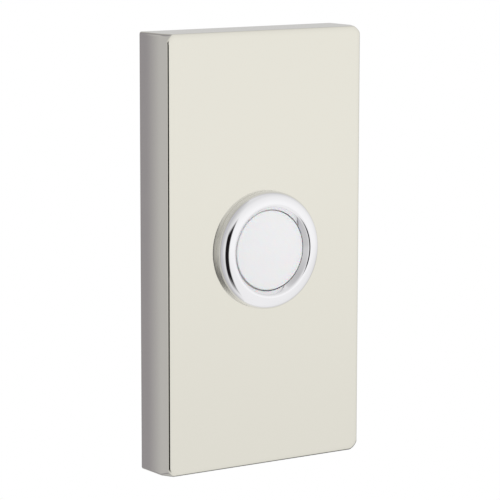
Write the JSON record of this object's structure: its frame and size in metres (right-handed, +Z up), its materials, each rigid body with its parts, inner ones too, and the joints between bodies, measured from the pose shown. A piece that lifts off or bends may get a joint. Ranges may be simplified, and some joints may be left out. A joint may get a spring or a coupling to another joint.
{
  "type": "doorbell push button",
  "caption": "Tall rectangular cover plate with a domed round bezel and a white push cap that switches a bell circuit from a barrel set into the wall.",
  "frame": {"origin": "on the wall plane, half way between the two wall screws, on the push button's axis", "axes": "+Z up, +Y into the wall, so the front faces -Y"},
  "size_m": [0.047, 0.0237, 0.0888],
  "materials": {
    "polished_nickel": "polished",
    "bright_chrome": "polished",
    "white_cap": "satin",
    "zinc_steel": "satin",
    "spring_steel": "satin",
    "brass_part": "satin",
    "moulded_base": "matt",
    "lamp_resin": "gloss",
    "resistor_coat": "gloss"
  },
  "bodies": {
    "housing": {"face_plate": "polished_nickel", "bezel": "bright_chrome", "mounting_bracket": "zinc_steel", "retaining_nut": "zinc_steel", "lock_washer": "zinc_steel", "cover_set_screw": "spring_steel", "return_spring": "spring_steel", "contact_base": "moulded_base", "led_lamp": "lamp_resin", "resistor": "resistor_coat", "fixed_contact_left": "brass_part", "contact_rivet_left": "brass_part", "terminal_plate_left": "brass_part", "cup_washer_left": "brass_part", "terminal_screw_left": "brass_part", "fixed_contact_right": "brass_part", "contact_rivet_right": "brass_part", "terminal_plate_right": "brass_part", "cup_washer_right": "brass_part", "terminal_screw_right": "brass_part"},
    "button": {"button_cap": "white_cap", "contact_bridge": "brass_part"}
  },
  "joints": [
    {"name": "button_press", "type": "slide", "parent": "housing", "child": "button", "axis": [0, 1, 0], "range_m": [0, 0.0014], "stiffness_N_per_m": 360, "springref_m": -0.003, "deforming": ["return_spring"]}
  ]
}
